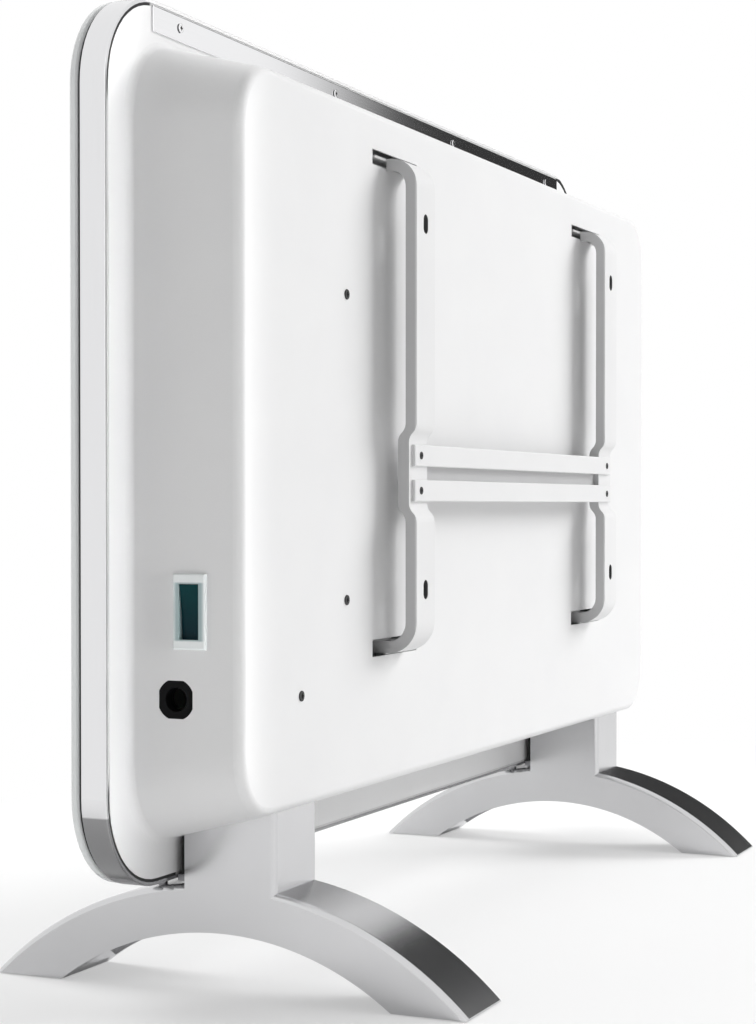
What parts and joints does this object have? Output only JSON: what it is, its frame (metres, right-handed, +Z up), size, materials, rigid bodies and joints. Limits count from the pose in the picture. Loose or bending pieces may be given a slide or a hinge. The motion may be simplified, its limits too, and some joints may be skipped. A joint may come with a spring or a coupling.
{
  "type": "glass convector heater",
  "caption": "Slim free-standing convector heater: glass front, white box-shaped rear cover with rocker switch and cable inlet, arched feet, and a hook-on wall bracket that tilts out.",
  "frame": {"origin": "on the floor, midway between the feet and midway along them", "axes": "+Z up, +X along the panel towards the end with the switch, +Y from the glass to the wall"},
  "size_m": [0.594, 0.2266, 0.4225],
  "materials": {
    "white_glass": "glossy tempered glass, painted white behind",
    "seal_rubber": "matt black",
    "frame_metal": "satin",
    "cover_paint": "satin white powder coat",
    "trim_metal": "polished",
    "foot_metal": "fine satin silver",
    "bracket_paint": "satin white powder coat",
    "screw_metal": "dark zinc",
    "bezel_plastic": "pale blue-grey gloss",
    "rocker_plastic": "dark teal gloss",
    "black_plastic": "matt black",
    "sheet_metal": "mill finish",
    "element_metal": "heat-dulled",
    "fin_metal": "mill finish",
    "ceramic": "glazed steatite",
    "board_green": "solder resist",
    "terminal_plastic": "moulded",
    "contact_brass": "plain",
    "live_insulation": "brown",
    "neutral_insulation": "blue",
    "earth_insulation": "green and yellow",
    "sole_rubber": "matt dark"
  },
  "bodies": {
    "heater": {"front_glass": "white_glass", "glass_gasket": "seal_rubber", "frame_band": "frame_metal", "front_shield": "sheet_metal", "touch_board": "board_green", "cover_gasket": "seal_rubber", "rear_cover": "cover_paint", "cover_screws": "screw_metal", "top_trim": "trim_metal", "top_trim_screws": "trim_metal", "switch_body": "bezel_plastic", "switch_terminals": "contact_brass", "cable_gland": "black_plastic", "bay_divider": "sheet_metal", "element_core": "element_metal", "element_insulators": "ceramic", "element_fins": "fin_metal", "element_bracket_right": "sheet_metal", "element_bracket_left": "sheet_metal", "thermal_cutout": "black_plastic", "temperature_sensor": "terminal_plastic", "control_board": "board_green", "board_standoffs": "terminal_plastic", "power_relay": "black_plastic", "supply_transformer": "black_plastic", "supply_capacitor": "black_plastic", "terminal_block": "terminal_plastic", "earth_tag": "contact_brass", "wire_live": "live_insulation", "wire_switched_live": "live_insulation", "wire_neutral": "neutral_insulation", "wire_earth": "earth_insulation", "element_lead_live": "live_insulation", "element_lead_neutral": "neutral_insulation", "right_foot": "foot_metal", "left_foot": "foot_metal", "foot_pads": "sole_rubber", "foot_screws": "screw_metal", "foot_nut_plates": "element_metal", "foot_clips": "screw_metal"},
    "rocker": {"switch_rocker": "rocker_plastic"},
    "wall_bracket": {"bracket_upright_right": "bracket_paint", "bracket_upright_left": "bracket_paint", "bracket_upper_rail": "bracket_paint", "bracket_lower_rail": "bracket_paint", "bracket_tie": "bracket_paint", "bracket_screws": "screw_metal"}
  },
  "joints": [
    {"name": "switch_rock", "type": "hinge", "parent": "heater", "child": "rocker", "pos_m": [0.2763, 0.0077, 0.1665], "axis": [0, -1, 0], "range_deg": [0, 13.4]},
    {"name": "bracket_tilt", "type": "hinge", "parent": "heater", "child": "wall_bracket", "pos_m": [-0.0187, 0.0305, 0.1415], "axis": [-1, 0, 0], "range_deg": [0, 20]}
  ]
}
